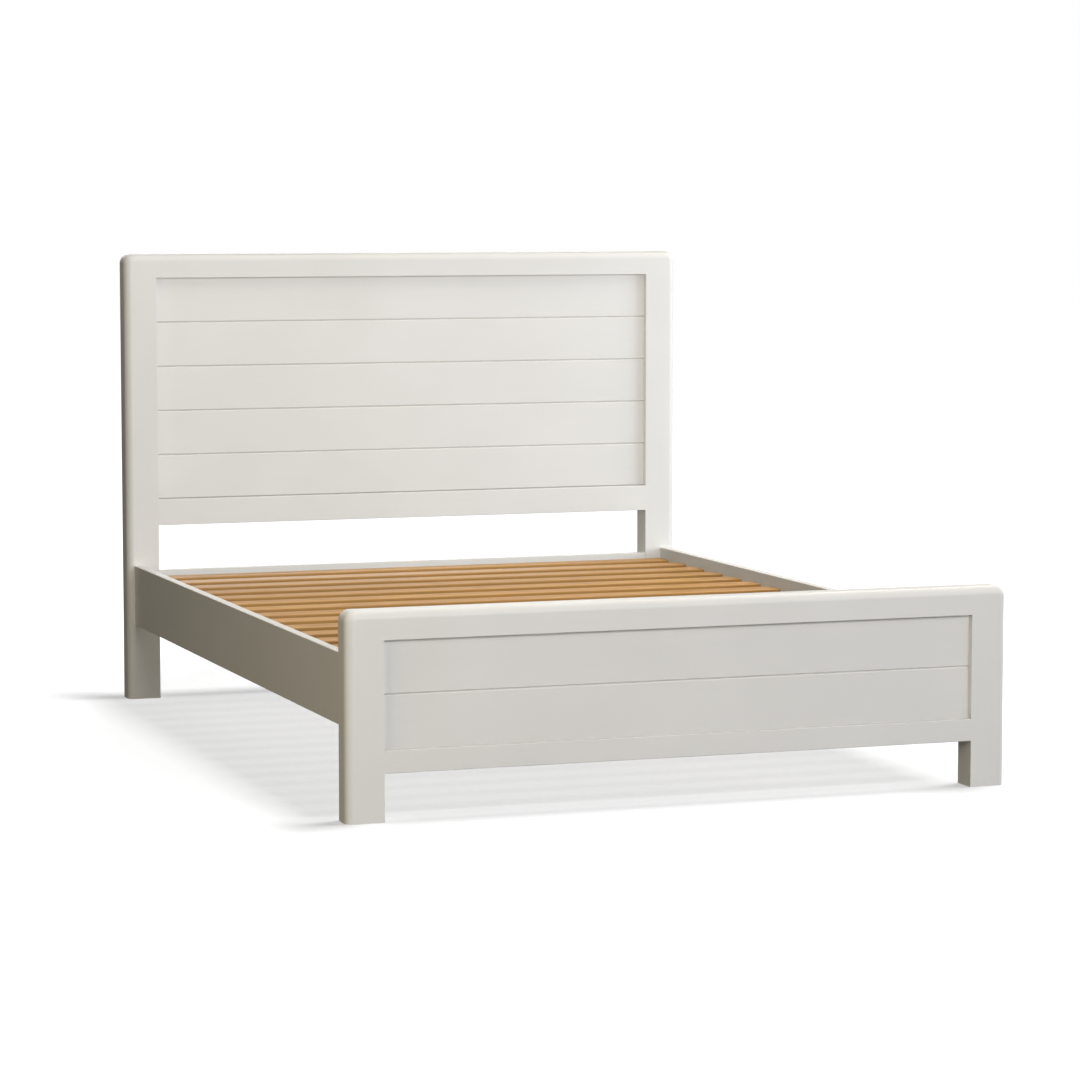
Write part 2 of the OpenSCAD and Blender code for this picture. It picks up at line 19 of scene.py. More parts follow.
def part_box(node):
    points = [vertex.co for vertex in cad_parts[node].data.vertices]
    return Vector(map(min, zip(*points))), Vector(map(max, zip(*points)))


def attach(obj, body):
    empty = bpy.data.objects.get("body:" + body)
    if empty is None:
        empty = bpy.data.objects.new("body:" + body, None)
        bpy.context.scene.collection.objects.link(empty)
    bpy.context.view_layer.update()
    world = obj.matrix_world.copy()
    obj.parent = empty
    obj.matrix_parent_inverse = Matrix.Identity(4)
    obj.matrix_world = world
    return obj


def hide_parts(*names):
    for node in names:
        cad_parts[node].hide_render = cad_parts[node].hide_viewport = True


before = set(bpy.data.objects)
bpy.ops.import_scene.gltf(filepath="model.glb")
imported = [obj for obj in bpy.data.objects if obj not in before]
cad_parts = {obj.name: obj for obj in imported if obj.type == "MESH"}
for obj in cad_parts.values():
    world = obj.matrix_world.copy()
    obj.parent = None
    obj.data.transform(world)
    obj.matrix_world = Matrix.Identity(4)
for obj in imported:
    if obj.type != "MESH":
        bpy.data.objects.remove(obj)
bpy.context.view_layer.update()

MM = 0.001
MICRONS_A_METRE = 1e6
HALF_TURN = math.pi
MERGE = 1e-6
MARGIN = 1.1
SMOOTH_BELOW = math.radians(35)
COARSE_CORE = 0.72
FINE_CORE = 0.84
COARSE_TIP = 2.2
THREAD_STEPS = 12
SCREW_HEAD_WIDE = 2
SCREW_HEAD_DEEP = 0.55
BOLT_HEAD_WIDE = 1.75
FLOOR_SHADERS = ("_post", "_cross_rail")
HEAD_FRAME = ("headboard_left_post", "headboard_right_post", "headboard_top_rail")
log = logging.getLogger("bed")

Box = tuple[Vector, Vector]
Outline = list[tuple[float, float]]


class Axis(Enum):
    """The axis that a piece's grain or a fastener runs along."""

    X = 0
    Y = 1
    Z = 2


class Head(Enum):
    """How a fastener's head is shaped."""

    COUNTERSUNK = "countersunk"
    PAN = "pan"
    TRUSS = "truss"


class Drive(Enum):
    """The recess that a fastener is turned by."""

    CROSS = "cross"
    HEXAGON = "hexagon"


def linear(hex_code: str) -> tuple[float, float, float, float]:
    """Turns an sRGB hex colour to linear light.

    Args:
        hex_code: Six hex digits, with or without a leading hash.

    Returns:
        Red, green, blue and an alpha of 1.
    """
    digits = hex_code.lstrip("#")
    channels = [int(digits[i:i + 2], 16) / 255 for i in (0, 2, 4)]
    red, green, blue = (c / 12.92 if c <= 0.04045 else ((c + 0.055) / 1.055) ** 2.4 for c in channels)
    return red, green, blue, 1.0


def new_material(name: str) -> tuple[bpy.types.Material, bpy.types.NodeTree]:
    """Makes a material with an empty node tree.

    Args:
        name: The material's name.

    Returns:
        The material and its tree.
    """
    material = bpy.data.materials.new(name)
    material.use_nodes = True
    material.node_tree.nodes.clear()
    return material, material.node_tree


def add_node(tree: bpy.types.NodeTree, kind: str, inputs: dict | None = None, **settings) -> bpy.types.Node:
    """Adds a shader node with its settings and links.

    Args:
        tree: The node tree of a material or world.
        kind: The node's type without the prefix ShaderNode, such as TexNoise.
        inputs: A value or another node's output socket for each input, by the input's name or number.
        settings: The node's own properties.

    Returns:
        The new node.
    """
    node = tree.nodes.new("ShaderNode" + kind)
    for name, value in settings.items():
        setattr(node, name, value)
    for name, value in (inputs or {}).items():
        if isinstance(value, bpy.types.NodeSocket):
            tree.links.new(value, node.inputs[name])
        else:
            node.inputs[name].default_value = value
    return node


def stretched(grain: Axis, across: float, along: float) -> tuple[float, float, float]:
    """Gives the scale of a pattern that is drawn out along the grain.

    Args:
        grain: The axis that the grain runs along.
        across: The size of the pattern across the grain, in millimetres.
        along: Its size along the grain, in millimetres.

    Returns:
        Repeats a metre on X, Y and Z.
    """
    return tuple(1 / (along * MM) if axis is grain else 1 / (across * MM) for axis in Axis)


@dataclass(frozen=True)
class SatinPaint:
    """Water-based satin paint sprayed on sanded timber: an even off-white with a soft, broad sheen.

    The timber's grain and the last brushing show through it as shallow lines in raking light.
    """

    colour: str = "E7E6E2"
    shade: str = "E2E1DC"
    roughness: float = 0.44
    roughness_spread: float = 0.02
    ior: float = 1.5
    grain_across: float = 2.4
    grain_along: float = 150.0
    grain_depth: float = 0.004
    peel_size: float = 1.6
    peel_depth: float = 0.004
    mottle_size: float = 220.0
    line_share: float = 0.4

    def build(self, name: str, grain: Axis) -> bpy.types.Material:
        """Makes the paint for pieces whose grain runs along one axis.

        Args:
            name: The material's name.
            grain: The axis that the grain runs along.

        Returns:
            The material.
        """
        material, tree = new_material(name)
        place = add_node(tree, "TexCoord").outputs["Object"]
        drawn = add_node(tree, "Mapping", {
            "Vector": place,
            "Scale": stretched(grain, self.grain_across, self.grain_along),
        })
        lines = add_node(tree, "TexNoise", {"Vector": drawn.outputs[0], "Scale": 1.0, "Detail": 2.0})
        peel = add_node(tree, "TexNoise", {
            "Vector": place, "Scale": 1 / (self.peel_size * MM), "Detail": 1.0,
        })
        mottle = add_node(tree, "TexNoise", {
            "Vector": place, "Scale": 1 / (self.mottle_size * MM), "Detail": 2.0,
        })
        tone = add_node(tree, "Math", {0: lines.outputs["Fac"], 1: self.line_share, 2: mottle.outputs["Fac"]},
                        operation="MULTIPLY_ADD")
        spread = add_node(tree, "MapRange", {"Value": tone.outputs[0], "From Min": 0.4, "From Max": 1.0})
        colour = add_node(tree, "Mix", {
            "Factor": spread.outputs[0],
            6: linear(self.shade),
            7: linear(self.colour),
        }, data_type="RGBA")
        gloss = add_node(tree, "MapRange", {
            "Value": lines.outputs["Fac"], "From Min": 0.3, "From Max": 0.7,
            "To Min": self.roughness - self.roughness_spread,
            "To Max": self.roughness + self.roughness_spread,
        })
        fine = add_node(tree, "Bump", {"Height": peel.outputs["Fac"], "Distance": self.peel_depth * MM})
        relief = add_node(tree, "Bump", {
            "Height": lines.outputs["Fac"], "Distance": self.grain_depth * MM, "Normal": fine.outputs[0],
        })
        surface = add_node(tree, "BsdfPrincipled", {
            "Base Color": colour.outputs[2], "Roughness": gloss.outputs[0], "Normal": relief.outputs[0],
            "IOR": self.ior,
        })
        add_node(tree, "OutputMaterial", {"Surface": surface.outputs[0]})
        return material


@dataclass(frozen=True)
class PlanedPine:
    """Softwood planed and sealed with a honey-coloured lacquer: pale early wood, amber late-wood lines.

    The rings are cut from a trunk whose heart lies under the board: streaks on the faces, arcs on the ends.
    """

    early: str = "C6954D"
    late: str = "9A6529"
    knot: str = "6E421E"
    # How dark the long edge faces are made: sawn fibres plus painted shade of the gaps between slats
    sawn_edge_shade_tone: float = 0.84
    roughness: float = 0.5
    ior: float = 1.48
    ring_gap: float = 3.6
    heart_depth: float = 45.0
    heart_drift: float = 30.0
    waviness: float = 9.0
    wave_length: float = 420.0
    knot_gap: float = 250.0
    knot_size: float = 0.018
    knot_reach: float = 0.16
    knot_push: float = 0.012
    knot_tone: float = 0.85
    board_shift: float = 3.0
    late_share: float = 0.6
    streak_spread: float = 0.12
    gloss_spread: float = 0.06
    fibre_across: float = 0.5
    fibre_along: float = 30.0
    fibre_depth: float = 0.03
    tone_spread: float = 0.10

    def build(self, name: str, grain: Axis, pitch: float = 0.0, first: float = 0.0) -> bpy.types.Material:
        """Makes the pine for boards whose grain runs along one axis.

        Args:
            name: The material's name.
            grain: The axis that the grain runs along.
            pitch: The distance from board to board along Y, or 0 where the boards lie left and right.
            first: The place along Y of one board's middle.

        Returns:
            The material.
        """
        material, tree = new_material(name)
        place = add_node(tree, "TexCoord").outputs["Object"]
        parts = add_node(tree, "SeparateXYZ", {0: place}).outputs
        across = [parts[axis.name] for axis in Axis if axis is not grain]
        if pitch:
            steps = add_node(tree, "Math", {0: parts["Y"], 1: first}, operation="SUBTRACT").outputs[0]
            steps = add_node(tree, "Math", {0: steps, 1: pitch}, operation="DIVIDE").outputs[0]
            board = add_node(tree, "Math", {0: steps}, operation="ROUND").outputs[0]
            centre = add_node(tree, "Math", {0: board, 1: pitch, 2: first},
                              operation="MULTIPLY_ADD").outputs[0]
            across[0] = add_node(tree, "Math", {0: across[0], 1: centre}, operation="SUBTRACT").outputs[0]
        else:
            board = add_node(tree, "Math", {0: parts["X"]}, operation="SIGN").outputs[0]
        chance = add_node(tree, "TexWhiteNoise", {"W": board}, noise_dimensions="1D")
        shift = add_node(tree, "VectorMath", {0: chance.outputs["Color"], "Scale": self.board_shift},
                         operation="SCALE")
        own = add_node(tree, "VectorMath", {0: place, 1: shift.outputs[0]}, operation="ADD").outputs[0]

        # The trunk's heart wanders a little along the board, and knots push the rings aside
        waves = add_node(tree, "Mapping", {
            "Vector": own,
            "Scale": stretched(grain, self.wave_length / 4, self.wave_length),
        })
        wander = add_node(tree, "TexNoise", {"Vector": waves.outputs[0], "Scale": 1.0, "Detail": 2.0})
        knots = add_node(tree, "TexVoronoi", {"Vector": own, "Scale": 1 / (self.knot_gap * MM)}, feature="F1")
        bend = add_node(tree, "MapRange", {
            "Value": knots.outputs["Distance"], "From Min": 0.0, "From Max": self.knot_reach,
            "To Min": self.knot_push, "To Max": 0.0,
        }, interpolation_type="SMOOTHERSTEP").outputs[0]
        off = add_node(tree, "MapRange", {
            "Value": chance.outputs["Value"],
            "To Min": -self.heart_drift * MM, "To Max": self.heart_drift * MM,
        }).outputs[0]
        flat = add_node(tree, "Math", {0: across[0], 1: off}, operation="ADD").outputs[0]
        deep = add_node(tree, "Math", {0: across[1], 1: self.heart_depth * MM}, operation="ADD").outputs[0]
        spot = add_node(tree, "CombineXYZ", {0: flat, 1: deep}).outputs[0]
        radius = add_node(tree, "VectorMath", {0: spot}, operation="LENGTH").outputs["Value"]
        radius = add_node(tree, "Math", {0: wander.outputs["Fac"], 1: self.waviness * MM, 2: radius},
                          operation="MULTIPLY_ADD").outputs[0]
        radius = add_node(tree, "Math", {0: radius, 1: bend}, operation="ADD").outputs[0]
        rings = add_node(tree, "Math", {0: radius, 1: self.ring_gap * MM}, operation="DIVIDE").outputs[0]
        phase = add_node(tree, "Math", {0: rings}, operation="FRACT").outputs[0]
        ring = add_node(tree, "ValToRGB", {"Fac": phase})
        ramp = ring.color_ramp.elements
        ramp[0].color = (0.0, 0.0, 0.0, 1.0)
        ramp[1].position = 0.86
        ramp[1].color = (1.0, 1.0, 1.0, 1.0)
        ramp.new(0.45).color = (0.12, 0.12, 0.12, 1.0)
        ramp.new(1.0).color = (0.0, 0.0, 0.0, 1.0)

        fibres = add_node(tree, "Mapping", {
            "Vector": own,
            "Scale": stretched(grain, self.fibre_across, self.fibre_along),
        })
        fibre = add_node(tree, "TexNoise", {"Vector": fibres.outputs[0], "Scale": 1.0, "Detail": 3.0})
        streak = add_node(tree, "MapRange", {
            "Value": fibre.outputs["Fac"], "From Min": 0.3, "From Max": 0.7,
            "To Min": -self.streak_spread, "To Max": self.streak_spread,
        }).outputs[0]
        late = add_node(tree, "Math", {0: ring.outputs["Color"], 1: self.late_share, 2: streak},
                        operation="MULTIPLY_ADD", use_clamp=True).outputs[0]
        wood = add_node(tree, "Mix", {"Factor": late, 6: linear(self.early), 7: linear(self.late)},
                        data_type="RGBA")
        tone = add_node(tree, "MapRange", {
            "Value": chance.outputs["Value"],
            "To Min": 1 - self.tone_spread, "To Max": 1 + self.tone_spread,
        })
        # The long edges are darkened by their normal: partly sawn fibres, which look darker than the planed
        # faces, and partly painted shade standing in for the shade in the gaps between slats
        normal = add_node(tree, "SeparateXYZ", {0: add_node(tree, "NewGeometry").outputs["True Normal"]})
        across_normal = normal.outputs["Y" if grain is Axis.X else "X"]
        edge = add_node(tree, "Math", {0: across_normal}, operation="ABSOLUTE").outputs[0]
        edge_shade = add_node(tree, "MapRange", {
            "Value": edge, "From Min": 0.4, "From Max": 0.9, "To Min": 1.0, "To Max": self.sawn_edge_shade_tone,
        })
        value = add_node(tree, "Math", {0: tone.outputs[0], 1: edge_shade.outputs[0]}, operation="MULTIPLY")
        toned = add_node(tree, "HueSaturation", {"Color": wood.outputs[2], "Value": value.outputs[0]})
        heart = add_node(tree, "MapRange", {
            "Value": knots.outputs["Distance"], "From Min": self.knot_size, "From Max": 2 * self.knot_size,
            "To Min": self.knot_tone, "To Max": 0.0,
        })
        colour = add_node(tree, "Mix", {
            "Factor": heart.outputs[0], 6: toned.outputs[0], 7: linear(self.knot),
        }, data_type="RGBA")
        gloss = add_node(tree, "MapRange", {
            "Value": late,
            "To Min": self.roughness + self.gloss_spread, "To Max": self.roughness - self.gloss_spread,
        })
        relief = add_node(tree, "Bump", {"Height": fibre.outputs["Fac"], "Distance": self.fibre_depth * MM})
        surface = add_node(tree, "BsdfPrincipled", {
            "Base Color": colour.outputs[2], "Roughness": gloss.outputs[0], "Normal": relief.outputs[0],
            "IOR": self.ior,
        })
        add_node(tree, "OutputMaterial", {"Surface": surface.outputs[0]})
        return material


@dataclass(frozen=True)
class ZincPlate:
    """Steel stamped or turned, then zinc-plated and passivated: a grey metal with a faint cloudy bloom."""

    colour: str = "B9BBBC"
    bloom: str = "A3A5A2"
    roughness: float = 0.34
    shinier: float = 0.08
    duller: float = 0.12
    cloud_size: float = 9.0
    scratch_size: float = 0.6
    scratch_depth: float = 0.01

    def build(self, name: str) -> bpy.types.Material:
        """Makes the plated steel.

        Args:
            name: The material's name.

        Returns:
            The material.
        """
        material, tree = new_material(name)
        place = add_node(tree, "TexCoord").outputs["Object"]
        cloud = add_node(tree, "TexNoise", {
            "Vector": place, "Scale": 1 / (self.cloud_size * MM), "Detail": 4.0,
        })
        fine = add_node(tree, "TexNoise", {
            "Vector": place, "Scale": 1 / (self.scratch_size * MM), "Detail": 2.0,
        })
        colour = add_node(tree, "Mix", {
            "Factor": cloud.outputs["Fac"], 6: linear(self.colour), 7: linear(self.bloom),
        }, data_type="RGBA")
        gloss = add_node(tree, "MapRange", {
            "Value": cloud.outputs["Fac"],
            "To Min": self.roughness - self.shinier, "To Max": self.roughness + self.duller,
        })
        relief = add_node(tree, "Bump", {"Height": fine.outputs["Fac"], "Distance": self.scratch_depth * MM})
        surface = add_node(tree, "BsdfPrincipled", {
            "Base Color": colour.outputs[2], "Roughness": gloss.outputs[0], "Normal": relief.outputs[0],
            "Metallic": 1.0,
        })
        add_node(tree, "OutputMaterial", {"Surface": surface.outputs[0]})
        return material


@dataclass(frozen=True)
class MouldedPlastic:
    """Black polypropylene moulded in a spark-eroded tool: matt, with a fine even grain."""

    colour: str = "26272A"
    worn: str = "3A3B3E"
    roughness: float = 0.55
    grain_size: float = 0.7
    grain_depth: float = 0.04

    def build(self, name: str) -> bpy.types.Material:
        """Makes the plastic.

        Args:
            name: The material's name.

        Returns:
            The material.
        """
        material, tree = new_material(name)
        place = add_node(tree, "TexCoord").outputs["Object"]
        grain = add_node(tree, "TexNoise", {
            "Vector": place, "Scale": 1 / (self.grain_size * MM), "Detail": 2.0,
        })
        colour = add_node(tree, "Mix", {
            "Factor": grain.outputs["Fac"], 6: linear(self.colour), 7: linear(self.worn),
        }, data_type="RGBA")
        relief = add_node(tree, "Bump", {"Height": grain.outputs["Fac"], "Distance": self.grain_depth * MM})
        surface = add_node(tree, "BsdfPrincipled", {
            "Base Color": colour.outputs[2], "Roughness": self.roughness, "Normal": relief.outputs[0],
        })
        add_node(tree, "OutputMaterial", {"Surface": surface.outputs[0]})
        return material


@dataclass(frozen=True)
class Softbox:
    """A studio light: a rectangle of even light that points at a place on the bed.

    It falls on every piece and not on the floor, unless for_floor sends it to the floor alone, only names the
    nodes that it falls on, or spares names nodes that it leaves out. One that passes is stopped by no piece
    but those that it falls on, and one that doesn't shine is left out of the pieces' gloss.
    """

    name: str
    place: tuple[float, float, float]
    target: tuple[float, float, float]
    size: tuple[float, float]
    watts: float
    colour: str = "FFFFFF"
    for_floor: bool = False
    only: tuple[str, ...] = ()
    spares: tuple[str, ...] = ()
    passes: bool = False
    shines: bool = True

    def build(self, floor: bpy.types.Object) -> bpy.types.Object:
        """Makes the light, aims it and chooses what it falls on and what stops it.

        In the floor's light only the slats, posts and cross rails throw a shadow, for an even shade.

        Args:
            floor: The studio's floor.

        Returns:
            The light.
        """
        data = bpy.data.lights.new(self.name, "AREA")
        data.shape = "RECTANGLE"
        data.size, data.size_y = self.size
        data.energy = self.watts
        data.color = linear(self.colour)[:3]
        light = bpy.data.objects.new(self.name, data)
        light.location = self.place
        light.rotation_euler = (Vector(self.target) - Vector(self.place)).to_track_quat("-Z", "Y").to_euler()
        light.visible_camera = False
        light.visible_glossy = self.shines
        bpy.context.scene.collection.objects.link(light)
        lit = bpy.data.collections.new(self.name + "_falls_on")
        for node in self.only or self.spares:
            lit.objects.link(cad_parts[node])
        if not self.only:
            lit.objects.link(floor)
        for entry in lit.collection_objects:
            entry.light_linking.link_state = "INCLUDE" if self.for_floor or self.only else "EXCLUDE"
        light.light_linking.receiver_collection = lit
        if self.passes:
            light.light_linking.blocker_collection = lit
        if self.for_floor:
            shading = bpy.data.collections.new(self.name + "_is_stopped_by")
            for node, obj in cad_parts.items():
                if node.endswith(FLOOR_SHADERS) or node.removeprefix("slat_").isdigit():
                    shading.objects.link(obj)
            light.light_linking.blocker_collection = shading
        return light


@dataclass
class Studio:
    """The pale floor, the soft lights and the camera at the photograph's viewing angle."""

    floor_size: float = 60.0
    # The floor glows less within this oval round the bed, a painted shade, and more outside it, painted light
    painted_shade_oval: tuple[float, float, float] = (1.35, 0.8, 1.0)
    painted_shade_border: tuple[float, float] = (1.3, 2.0)
    glow_strength: tuple[float, float] = (0.47, 1.05)
    room_strength: float = 0.03
    camera_place: tuple[float, float, float] = (-2.983, -8.4824, 1.3643)
    camera_yaw: float = 19.567
    camera_pitch: float = 5.483
    lens: float = 119.54
    sensor: float = 36.0
    softboxes: tuple[Softbox, ...] = (
        Softbox("right_low", (3.2, -0.3, 0.9), (0.0, 0.6, 0.6), (2.0, 1.2), 62.0, "F2F7FF", shines=False),
        Softbox("right_front", (4.5, -4.5, 2.6), (0.0, 0.0, 0.5), (3.0, 3.0), 60.0, "F6F6FD"),
        Softbox("front", (0.5, -7.5, 2.2), (0.0, 0.0, 0.5), (4.0, 3.0), 286.0, "FDFDFF"),
        Softbox("left_bounce", (-4.5, -3.0, 1.2), (-0.5, -0.5, 0.3), (3.0, 2.0), 68.0, "FFF1D4"),
        Softbox("overhead", (0.0, -0.3, 4.2), (0.0, 0.0, 0.0), (4.0, 4.0), 94.0, "FFFBF5", spares=HEAD_FRAME),
        Softbox("head_overhead", (0.0, -0.3, 4.2), (0.0, 0.0, 0.0), (4.0, 4.0), 76.0, "FFFBF5",
                only=HEAD_FRAME),
        Softbox("top_back", (1.2, 2.3, 3.4), (0.3, 0.3, 0.3), (3.0, 1.5), 48.0, "FFFDFA",
                spares=(*HEAD_FRAME, "headboard_bottom_rail")),
        Softbox("top_right", (2.6, 0.9, 2.6), (0.2, 0.0, 0.3), (2.0, 1.5), 30.0, "FFF8EC"),
        Softbox("back", (0.5, 6.0, 2.4), (0.0, 0.0, 0.5), (4.0, 3.0), 105.0),
        Softbox("far_post_fill", (-2.5, 1.3, 0.5), (0.7, 1.04, 0.5), (1.0, 1.0), 13.0, "FFFAF0",
                only=("headboard_right_post",), passes=True),
        Softbox("floor_key", (2.4, -0.5, 8.0), (0.0, -0.5, 0.0), (3.14, 2.6), 500.0, for_floor=True),
    )

    def camera(self) -> bpy.types.Object:
        """Makes the camera, level and without shift, and makes it the scene's own."""
        data = bpy.data.cameras.new("camera")
        data.lens = self.lens
        data.sensor_width = self.sensor
        data.clip_end = 200.0
        camera = bpy.data.objects.new("camera", data)
        camera.location = self.camera_place
        camera.rotation_euler = (math.radians(90 - self.camera_pitch), 0.0, -math.radians(self.camera_yaw))
        bpy.context.scene.collection.objects.link(camera)
        bpy.context.scene.camera = camera
        return camera

    def floor(self) -> bpy.types.Object:
        """Makes the floor, which throws no light back at the bed and glows by itself: dimmer within an oval
        round the bed, a painted shade there, and brighter outside it, painted light where the floor key
        fades.
        """
        select_only()
        bpy.ops.mesh.primitive_plane_add(size=self.floor_size)
        floor = bpy.context.object
        floor.name = "studio_floor"
        floor.visible_diffuse = False
        floor.visible_glossy = False
        material, tree = new_material("white_studio_paper")
        place = add_node(tree, "TexCoord").outputs["Object"]
        oval = add_node(tree, "VectorMath", {0: place, 1: self.painted_shade_oval}, operation="MULTIPLY").outputs[0]
        away = add_node(tree, "VectorMath", {0: oval}, operation="LENGTH").outputs["Value"]
        glow = add_node(tree, "MapRange", {
            "Value": away, "From Min": self.painted_shade_border[0], "From Max": self.painted_shade_border[1],
            "To Min": self.glow_strength[0], "To Max": self.glow_strength[1],
        }, interpolation_type="SMOOTHSTEP")
        matt = add_node(tree, "BsdfDiffuse", {"Color": linear("E4E4E4")})
        light = add_node(tree, "Emission", {"Color": linear("FFFFFF"), "Strength": glow.outputs[0]})
        both = add_node(tree, "AddShader", {0: matt.outputs[0], 1: light.outputs[0]})
        add_node(tree, "OutputMaterial", {"Surface": both.outputs[0]})
        floor.data.materials.append(material)
        return floor

    def world(self) -> None:
        """Makes the surroundings: white where the camera looks past the bed, dim for the bed itself."""
        world = bpy.data.worlds.new("studio")
        bpy.context.scene.world = world
        world.use_nodes = True
        tree = world.node_tree
        tree.nodes.clear()
        rays = add_node(tree, "LightPath")
        room = add_node(tree, "Background", {"Color": linear("FFFFFF"), "Strength": self.room_strength})
        white = add_node(tree, "Background", {"Color": linear("FFFFFF"), "Strength": 1.0})
        mixed = add_node(tree, "MixShader", {
            0: rays.outputs["Is Camera Ray"], 1: room.outputs[0], 2: white.outputs[0],
        })
        add_node(tree, "OutputWorld", {"Surface": mixed.outputs[0]})

    def build(self) -> None:
        """Makes the whole studio."""
        self.camera()
        floor = self.floor()
        self.world()
        for softbox in self.softboxes:
            softbox.build(floor)
        bpy.context.scene.view_settings.view_transform = "Standard"


def select_only(*objects: bpy.types.Object) -> None:
    """Leaves object mode's selection with nothing but the given objects, the first of them active.

    Args:
        objects: The objects to select, or none.
    """
    bpy.ops.object.select_all(action="DESELECT")
    for obj in objects:
        obj.select_set(True)
    if objects:
        bpy.context.view_layer.objects.active = objects[0]


def select_points(obj: bpy.types.Object, test: Callable[[Vector], bool]) -> None:
    """Enters edit mode with only those points selected whose place passes a test.

    Args:
        obj: A mesh object, which becomes the active one.
        test: Says of a point's place whether it is wanted.
    """
    select_only(obj)
    bpy.ops.object.mode_set(mode="EDIT")
    bpy.ops.mesh.select_mode(type="VERT")
    bpy.ops.mesh.select_all(action="DESELECT")
    bpy.ops.object.mode_set(mode="OBJECT")
    for vertex in obj.data.vertices:
        vertex.select = test(vertex.co)
    bpy.ops.object.mode_set(mode="EDIT")


def turn(name: str, outline: Outline, sides: int) -> bpy.types.Object:
    """Makes a turned piece: a disc that is extruded down the Z axis and resized at each step of its outline.

    Args:
        name: The piece's name.
        outline: Radius and height of each step in millimetres, from the top down.
        sides: The number of sides round.

    Returns:
        The piece, closed, with its normals outwards.
    """
    radius, height = outline[0]
    select_only()
    bpy.ops.mesh.primitive_circle_add(vertices=sides, radius=radius * MM, fill_type="NGON",
                                      location=(0, 0, height * MM))
    piece = bpy.context.object
    piece.name = name
    bpy.ops.object.transform_apply()
    bpy.ops.object.mode_set(mode="EDIT")
    bpy.ops.mesh.select_all(action="SELECT")
    for next_radius, next_height in outline[1:]:
        drop = (0, 0, (next_height - height) * MM)
        bpy.ops.mesh.extrude_region_move(TRANSFORM_OT_translate={"value": drop})
        share = next_radius / radius
        bpy.ops.transform.resize(value=(share, share, 1), center_override=(0, 0, next_height * MM))
        radius, height = next_radius, next_height
    bpy.ops.mesh.select_all(action="SELECT")
    bpy.ops.mesh.normals_make_consistent(inside=False)
    bpy.ops.object.mode_set(mode="OBJECT")
    return piece


def wind_thread(name: str, core: float, crest: float, top: float, pitch: float, turns: int,
                steps: int) -> bpy.types.Object:
    """Makes a thread: a three-sided ridge wound down the Z axis by a Screw modifier, its ends closed.

    Args:
        name: The piece's name.
        core: Radius at the root of the thread, in millimetres.
        crest: Radius at its crest.
        top: Height of its upper end.
        pitch: Distance from turn to turn.
        turns: Number of turns.
        steps: Steps in one turn.

    Returns:
        The thread as one closed piece.
    """
    reach = 0.42 * pitch
    buried = 0.08
    select_only()
    bpy.ops.mesh.primitive_circle_add(vertices=3, radius=reach * MM, fill_type="NOTHING",
                                      rotation=(HALF_TURN / 2, HALF_TURN / 2, 0))
    ridge = bpy.context.object
    ridge.name = name
    bpy.ops.object.transform_apply()
    bpy.ops.object.mode_set(mode="EDIT")
    bpy.ops.mesh.select_all(action="SELECT")
    squeeze = (crest - core + buried) / (1.5 * reach)
    bpy.ops.transform.resize(value=(squeeze, 1, 1), center_override=(0, 0, 0))
    out = core - buried + 0.5 * reach * squeeze
    bpy.ops.transform.translate(value=(out * MM, 0, (top - reach) * MM))
    bpy.ops.object.mode_set(mode="OBJECT")
    winding = ridge.modifiers.new("thread", "SCREW")
    winding.axis = "Z"
    winding.angle = 2 * HALF_TURN
    winding.screw_offset = -pitch * MM
    winding.iterations = turns
    winding.steps = winding.render_steps = steps
    bpy.ops.object.modifier_apply(modifier="thread")
    bpy.ops.object.mode_set(mode="EDIT")
    bpy.ops.mesh.select_all(action="SELECT")
    bpy.ops.mesh.fill_holes(sides=3)
    bpy.ops.mesh.select_all(action="SELECT")
    bpy.ops.mesh.normals_make_consistent(inside=False)
    bpy.ops.object.mode_set(mode="OBJECT")
    return ridge


def carve(piece: bpy.types.Object, cutter: bpy.types.Object) -> None:
    """Cuts one closed piece out of another, and deletes the cutter.

    Args:
        piece: The piece that loses material.
        cutter: The shape of the cut.
    """
    cut = piece.modifiers.new("cut", "BOOLEAN")
    cut.operation = "DIFFERENCE"
    cut.solver = "EXACT"
    cut.object = cutter
    select_only(piece)
    bpy.ops.object.modifier_apply(modifier="cut")
    bpy.data.objects.remove(cutter)


def solids(node: str) -> list[Box]:
    """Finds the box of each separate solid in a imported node.

    Args:
        node: The node's name.

    Returns:
        The lowest and highest corner of each solid, in metres, in order of place.
    """
    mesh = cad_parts[node].data
    keys = [tuple(round(c * MICRONS_A_METRE) for c in vertex.co) for vertex in mesh.vertices]
    parent = {key: key for key in keys}

    def root(key: tuple) -> tuple:
        """Follows a point to the one that stands for its solid."""
        while parent[key] != key:
            parent[key] = parent[parent[key]]
            key = parent[key]
        return key

    for face in mesh.polygons:
        first = root(keys[face.vertices[0]])
        for index in face.vertices[1:]:
            parent[root(keys[index])] = first
    groups: dict[tuple, list[tuple]] = {}
    for key in parent:
        groups.setdefault(root(key), []).append(key)
    boxes = [(tuple(map(min, zip(*group))), tuple(map(max, zip(*group)))) for group in groups.values()]
    return [(Vector(low) / MICRONS_A_METRE, Vector(high) / MICRONS_A_METRE) for low, high in sorted(boxes)]


